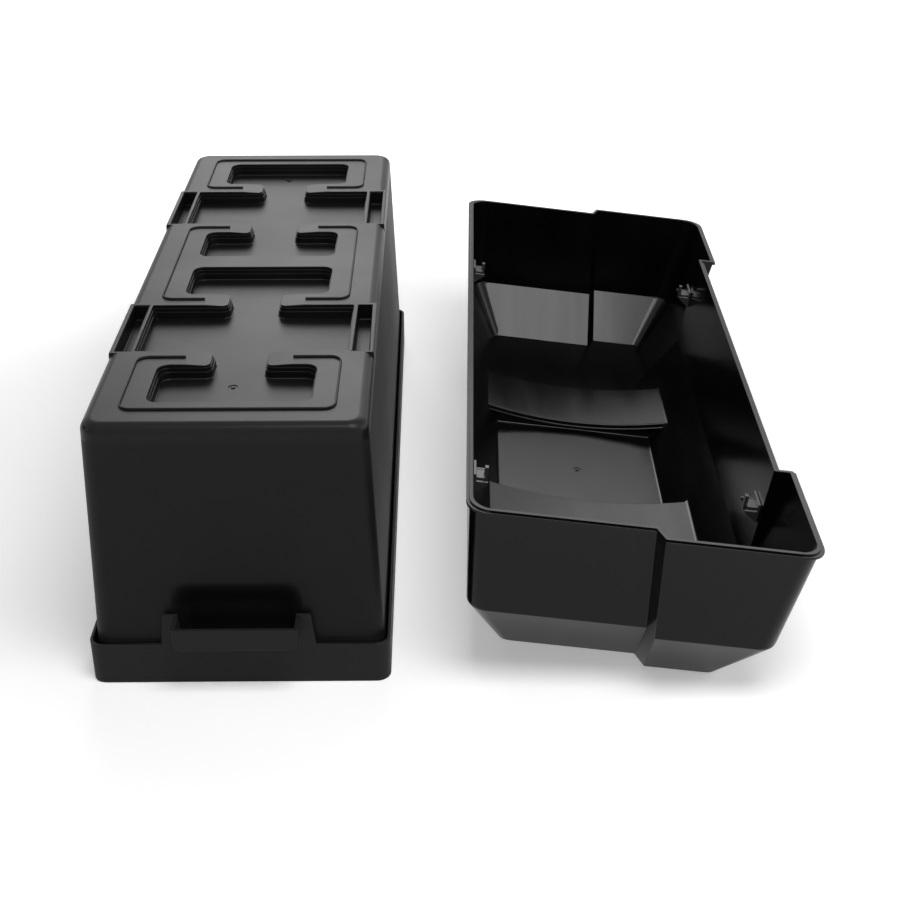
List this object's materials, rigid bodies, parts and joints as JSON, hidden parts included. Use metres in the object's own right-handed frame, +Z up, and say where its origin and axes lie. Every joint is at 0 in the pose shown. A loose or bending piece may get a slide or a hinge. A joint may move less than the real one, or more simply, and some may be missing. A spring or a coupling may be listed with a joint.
{
  "type": "double battery box",
  "caption": "Long tapered plastic box for two batteries end to end, set base up with strap channels and finger grips, beside its deep lid, mouth up.",
  "frame": {"origin": "under the middle of the two pieces as they stand, on the surface they stand on", "axes": "+Z up, +Y along the box away from the viewer, +X across it from the tub towards the lid"},
  "size_m": [0.5182, 0.6334, 0.2056],
  "materials": {
    "tub_plastic": "satin",
    "lid_plastic": "semi-gloss",
    "clip_plastic": "semi-gloss"
  },
  "bodies": {
    "tub": {"box_tub": "tub_plastic"},
    "lid": {"deep_lid": "lid_plastic", "rim_clip_near_left": "clip_plastic", "rim_clip_near_right": "clip_plastic", "rim_clip_far_left": "clip_plastic", "rim_clip_far_right": "clip_plastic"}
  },
  "joints": [
    {"name": "lid_lift", "type": "slide", "parent": "tub", "child": "lid", "axis": [0, 0, 1], "range_m": [0, 0.25]}
  ]
}
